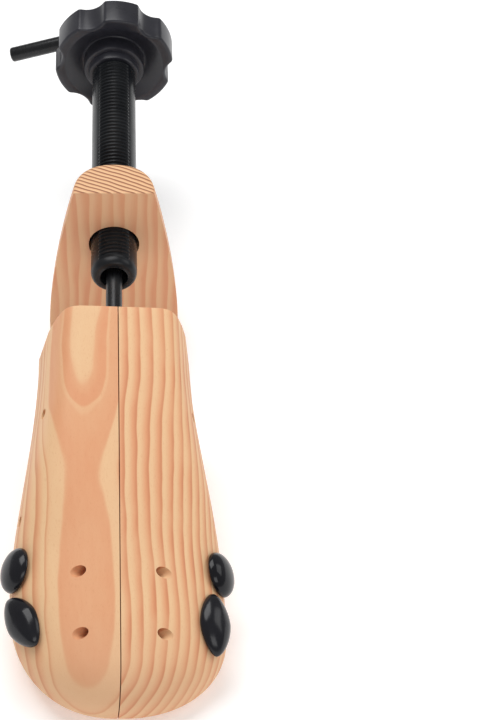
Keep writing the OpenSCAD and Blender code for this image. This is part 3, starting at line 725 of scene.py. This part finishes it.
def screw_skin():
    steps = 144
    ys = [SCREW_START + 0.08 * k for k in range(6)] + [SCREW_START + 0.5 + 0.25 * k for k in range(12)]
    while ys[-1] < SCREW_END - 0.3:
        ys.append(SCREW_START + 3.2 + PITCH / 14 * (len(ys) - 18))
    mouth = ((5.9, 15.5), (5.9, 0.5), (6.1, 0.12), (6.5, 0.0), (7.4, 0.0))
    rings = [[(r * math.sin(2 * math.pi * k / steps), SCREW_START + d,
               r * math.cos(2 * math.pi * k / steps)) for k in range(steps)] for r, d in mouth]
    for y in ys:
        d = y - SCREW_START
        chamfer = 2.2 * (1 - math.sqrt(max(0.0, 1 - (1 - min(1.0, (d + 0.05) / 3.6)) ** 2)))
        ring = []
        for k in range(steps):
            turn = 2 * math.pi * k / steps
            r = SCREW_ROOT - chamfer + ridge_at(turn, y)
            ring.append((r * math.sin(turn), y + helix_shift(turn, y), r * math.cos(turn)))
        rings.append(ring)
    for r, y in ((4.5, SCREW_END - 0.1), (4.5, SCREW_START + 23.5), (3.6, SCREW_START + 23.5),
                 (3.6, SCREW_START + 15.5)):
        rings.append([(r * math.sin(2 * math.pi * k / steps), y,
                       r * math.cos(2 * math.pi * k / steps)) for k in range(steps)])
    return new_object("length_screw_thread", [p for r in rings for p in r],
                      rings_to_faces(len(rings), steps, True, True), 40.0)


dress(screw_skin(), "screw_plastic", "knob", "length_screw")

# ---- Knob ----------------------------------------------------------------------------


def lobe_radius(turn):
    """Radius of the knob's outline at turn, counted clockwise from the top as seen from the toe."""
    step = 2 * math.pi / LOBES
    away = (turn - math.radians(37.5) + step / 2) % step - step / 2
    centre = KNOB_R - SCALLOP_DEPTH + SCALLOP_R
    side = centre * math.sin(abs(away))
    if side >= SCALLOP_R:
        return KNOB_R
    return min(KNOB_R, centre * math.cos(away) - math.sqrt(SCALLOP_R ** 2 - side ** 2))


def knob_skin():
    steps = 432
    turns = [2 * math.pi * k / steps for k in range(steps)]
    soft = [lobe_radius(t) for t in turns]
    for _ in range(3):
        soft = [(soft[k - 1] + 2 * soft[k] + soft[(k + 1) % steps]) / 4 for k in range(steps)]

    def ring(radius_of, y):
        return [(radius_of(k) * math.sin(turns[k]), y,
                 radius_of(k) * math.cos(turns[k])) for k in range(steps)]

    def circle(r, y):
        return ring(lambda k: r, y)

    front, back, edge = KNOB_START, KNOB_START + KNOB_T, 1.4
    hub = ((10.05, -7.0), (11.0, -7.0), (11.55, -6.85), (11.75, -6.4), (11.75, -3.0), (13.2, -3.0),
           (13.8, -2.8), (14.0, -2.2), (14.0, 4.6), (14.4, 5.0), (15.0, 5.0))
    rings = [circle(r, front + d) for r, d in hub]
    for i in range(1, 9):
        r = 15.0 + (22.6 - 15.0) * i / 8
        rings.append(circle(r, front + 5.0 - 4.55 * (i / 8)))
    rings.append(circle(23.0, front + 0.2))
    rings.append(ring(lambda k: min(23.4, soft[k] - 0.9), front + 0.05))
    for i in range(9):
        a = math.pi / 2 * i / 8
        inset = edge * (1 - math.sin(a))
        rings.append(ring(lambda k: max(23.0, soft[k] - inset) if soft[k] - inset < 23.4
                          else soft[k] - inset, front + edge * (1 - math.cos(a))))
    for i in range(9):
        a = math.pi / 2 * i / 8
        rings.append(ring(lambda k: soft[k] - edge * (1 - math.cos(a)), back - edge + edge * math.sin(a)))
    rings += [circle(8.0, back), circle(3.55, back), circle(3.55, back - 6.0), circle(10.05, back - 6.0)]
    return new_object("knob_body", [p for r in rings for p in r],
                      rings_to_faces(len(rings), steps, True, True), 38.0)


dress(knob_skin(), "knob_plastic", "knob", "knob")

# ---- Spindle -------------------------------------------------------------------------


def spindle_skin():
    steps = 48
    drop = math.radians(HANDLE_DROP)
    reach = Vector((-math.cos(drop), 0, -math.sin(drop)))
    upright = Vector((-math.sin(drop), 0, math.cos(drop)))
    path = []
    for r, y in ((2.6, -77.5), (3.0, -77.1), (3.0, -67.5), (ROD_R, -67.5), (ROD_R, 0.0), (ROD_R, 60.0),
                 (ROD_R, 130.0), (ROD_R, HANDLE_AT - BEND_R)):
        path.append((Vector((0, y, 0)), Vector((0, 1, 0)), r))
    for i in range(1, 25):
        a = math.pi / 2 * i / 24
        place = Vector((0, HANDLE_AT - BEND_R + BEND_R * math.sin(a),
                        0)) + reach * (BEND_R * (1 - math.cos(a)))
        path.append((place, Vector((0, math.cos(a), 0)) + reach * math.sin(a), ROD_R))
    for r, d in ((ROD_R, 20.0), (ROD_R, HANDLE_LEN - 0.9), (3.35, HANDLE_LEN - 0.45),
                 (3.0, HANDLE_LEN - 0.12), (2.6, HANDLE_LEN)):
        path.append((Vector((0, HANDLE_AT, 0)) + reach * d, reach, r))
    rings = []
    for place, ahead, r in path:
        side = ahead.cross(upright).normalized()
        rings.append([place + side * (r * math.cos(2 * math.pi * k / steps))
                      + upright * (r * math.sin(2 * math.pi * k / steps))
                      for k in range(steps)])
    return loft("spindle_rod", rings, True, 30.0)


dress(spindle_skin(), "rod_black", "spindle", "spindle")

# ---- Closing springs -----------------------------------------------------------------


def coil(side, y, start, length, turns=11, r=2.62, wire=0.38):
    """A tension spring along x as a swept helix."""
    steps, around = turns * 28, 10
    rings = []
    for i in range(steps + 1):
        t = i / steps
        a = 2 * math.pi * turns * t
        place = Vector((side * (start + length * t), y + r * math.cos(a), r * math.sin(a)))
        ahead = Vector((side * length / (2 * math.pi * turns), -r * math.sin(a),
                        r * math.cos(a))).normalized()
        out = Vector((0, math.cos(a), math.sin(a)))
        other = ahead.cross(out)
        rings.append([place + out * (wire * math.cos(2 * math.pi * k / around))
                      + other * (wire * math.sin(2 * math.pi * k / around))
                      for k in range(around)])
    return rings


for name, side in SIDES.items():
    springs = join("closing_springs_%s_coil" % name,
                   [coil(side, -8.5, 7.4, 16.2), coil(side, -73.0, 5.4, 16.2)])
    springs.data.materials.append(MATERIALS["spring_steel"])
    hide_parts("closing_springs_" + name)
    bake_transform(springs)

# ---- CAD pieces that keep their own shape ----------------------------------------------

for row in frame["record"]["subparts"]:
    node = frame["nodes"][row["node"]]
    node.data.materials.clear()
    node.data.materials.append(MATERIALS[row["material_slot"]])
    node.data.polygons.foreach_set("use_smooth", [True] * len(node.data.polygons))
    node.data.set_sharp_from_angle(angle=math.radians(30))

# ---- Floor, light and camera ----------------------------------------------------------


def floor():
    n = Nodes("floor_paper")
    coords = n.node("ShaderNodeTexCoord").outputs["Object"]
    cloud = n.noise(coords, 1.5, 3.0, 0.5)
    n.put(n.shader.inputs["Base Color"],
          n.mix(n.span(cloud, 0.3, 0.7), srgb(251, 251, 251), srgb(253, 253, 253)))
    n.put(n.shader.inputs["Roughness"], n.span(cloud, 0.3, 0.7, 0.85, 0.95))
    n.put(n.shader.inputs["Emission Color"],
          n.mix(n.span(cloud, 0.3, 0.7), srgb(252, 252, 252), srgb(255, 255, 255)))
    n.shader.inputs["Emission Strength"].default_value = 0.22
    mesh = bpy.data.meshes.new("floor")
    size, low = 6.0, -0.0002
    mesh.from_pydata([(-size, -size, low), (size, -size, low), (size, size, low), (-size, size, low)], [],
                     [(0, 1, 2, 3)])
    obj = bpy.data.objects.new("floor", mesh)
    obj.data.materials.append(n.material)
    bpy.context.scene.collection.objects.link(obj)


def area_light(name, place, aim, size, watts, tint=(1, 1, 1)):
    data = bpy.data.lights.new(name, "AREA")
    data.shape = "RECTANGLE"
    data.size, data.size_y = size
    data.energy = watts
    data.color = tint
    obj = bpy.data.objects.new(name, data)
    obj.location = place
    obj.rotation_euler = (Vector(aim) - Vector(place)).to_track_quat("-Z", "Y").to_euler()
    bpy.context.scene.collection.objects.link(obj)


floor()
area_light("key_soft", (-0.3, 0.65, 1.55), (0, 0.1, 0.03), (1.3, 1.1), 18.5)
area_light("fill_soft", (0.4, -1.2, 0.9), (0, 0.1, 0.03), (1.0, 0.6), 4.8)
area_light("side_soft", (1.2, 0.3, 0.9), (0, 0.1, 0.05), (0.8, 0.8), 3.6)

world = bpy.data.worlds.new("studio")
bpy.context.scene.world = world
world.use_nodes = True
world.node_tree.nodes["Background"].inputs[0].default_value = (1, 1, 1, 1)
world.node_tree.nodes["Background"].inputs[1].default_value = 0.32

# The camera stands 930 mm from the screw's front end, looking down at 49.5 degrees to the
# screw, and is turned 3.54 degrees so that the shoe tree lies left of the middle.
pitch, yaw = math.radians(49.5), math.radians(3.54)
ahead = Vector((0, math.cos(pitch), -math.sin(pitch)))
up = Vector((0, math.sin(pitch), math.cos(pitch)))
right = Vector((1, 0, 0))
ahead, right = ahead * math.cos(yaw) + right * math.sin(yaw), right * math.cos(yaw) - ahead * math.sin(yaw)
turn = STAND.to_3x3().normalized()
axes = Matrix((turn @ right, turn @ up, turn @ -ahead)).transposed().to_4x4()
camera = bpy.data.objects.new("camera", bpy.data.cameras.new("camera"))
camera.data.sensor_width = 36.0
camera.data.lens = 107.5
camera.data.clip_start, camera.data.clip_end = 0.02, 20.0
camera.matrix_world = Matrix.Translation(to_world((0, -583.6, 683.4))) @ axes
bpy.context.scene.collection.objects.link(camera)
bpy.context.scene.camera = camera
bpy.context.scene.view_settings.view_transform = "Standard"

bpy.context.view_layer.update()
